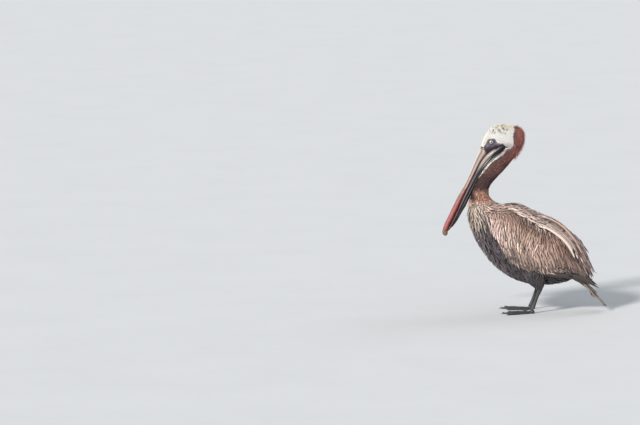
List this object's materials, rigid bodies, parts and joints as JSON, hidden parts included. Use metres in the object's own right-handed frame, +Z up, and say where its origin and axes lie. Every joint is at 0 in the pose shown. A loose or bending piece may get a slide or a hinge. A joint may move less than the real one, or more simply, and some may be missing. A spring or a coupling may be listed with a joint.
{
  "type": "pelican",
  "caption": "Life-size still model of a brown pelican standing at rest, its neck drawn back, its long bill laid down against the neck and its wings closed.",
  "frame": {"origin": "on the floor, in the bird's middle plane, halfway between the nail of the bill and the end of the tail", "axes": "+Z up; the bird faces -Y; its left side is +X"},
  "size_m": [0.2364, 0.5842, 0.6684],
  "materials": {
    "white_plumage": "soft feathers",
    "chestnut_plumage": "soft feathers",
    "silver_brown_plumage": "soft feathers",
    "dark_plumage": "soft feathers",
    "red_bill": "dry horn skin",
    "bill_nail": "smooth horn",
    "grey_bill": "dry horn skin",
    "pouch_skin": "bare wrinkled skin",
    "foot_skin": "bare scaly skin",
    "claw_horn": "smooth horn",
    "eye": "wet and glossy"
  },
  "bodies": {
    "root": {"upper_bill": "red_bill", "bill_nail": "bill_nail", "lower_bill": "grey_bill", "pouch": "pouch_skin", "head": "white_plumage", "neck_upper": "chestnut_plumage", "neck_lower": "chestnut_plumage", "trunk": "dark_plumage", "tail": "silver_brown_plumage", "eye_left": "eye", "wing_left": "silver_brown_plumage", "wing_tip_left": "silver_brown_plumage", "thigh_left": "dark_plumage", "shank_left": "foot_skin", "foot_left": "foot_skin", "claw_left_1": "claw_horn", "claw_left_2": "claw_horn", "claw_left_3": "claw_horn", "claw_left_4": "claw_horn", "eye_right": "eye", "wing_right": "silver_brown_plumage", "wing_tip_right": "silver_brown_plumage", "thigh_right": "dark_plumage", "shank_right": "foot_skin", "foot_right": "foot_skin", "claw_right_1": "claw_horn", "claw_right_2": "claw_horn", "claw_right_3": "claw_horn", "claw_right_4": "claw_horn"}
  },
  "joints": []
}
